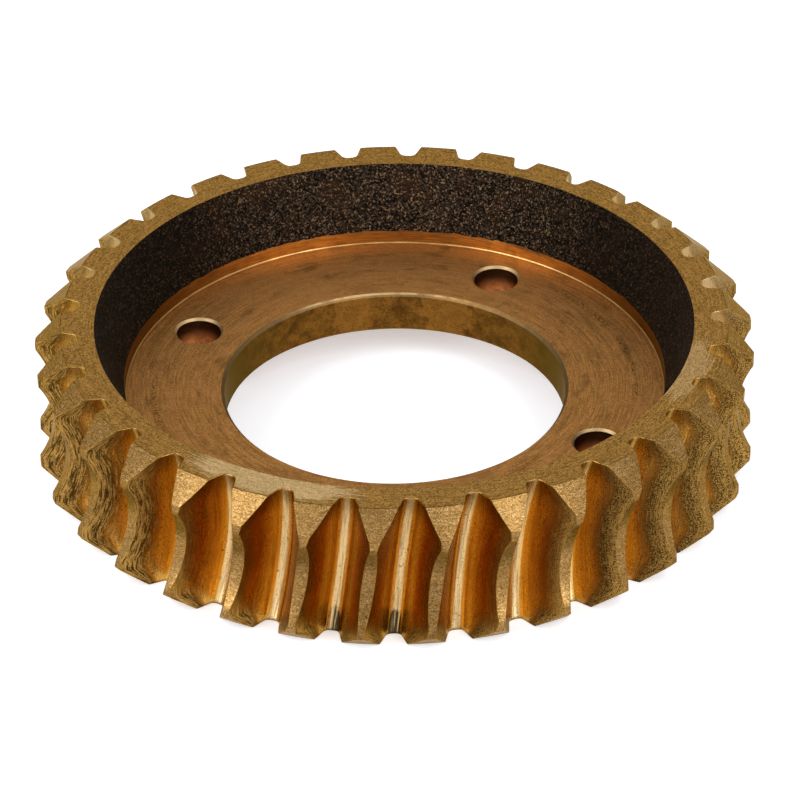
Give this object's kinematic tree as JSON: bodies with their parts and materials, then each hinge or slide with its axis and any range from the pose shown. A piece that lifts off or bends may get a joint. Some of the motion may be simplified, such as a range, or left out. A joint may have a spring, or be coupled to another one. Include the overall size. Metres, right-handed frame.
{
  "type": "worm wheel",
  "caption": "Bronze worm wheel rim with throated right-hand teeth, a drafted cast inner wall and a bored web that bolts to a hub flange.",
  "frame": {"origin": "the wheel's axis, in the plane of the rim's lower face", "axes": "+Z along the bore's axis, from the lower face to the open side of the web; the camera of the picture stands on the -Y side"},
  "size_m": [0.1824, 0.1823, 0.0404],
  "materials": {
    "bronze": "turned and hobbed bronze, with dark cast skin on the inner walls"
  },
  "bodies": {
    "root": {"worm_wheel": "bronze"}
  },
  "joints": []
}
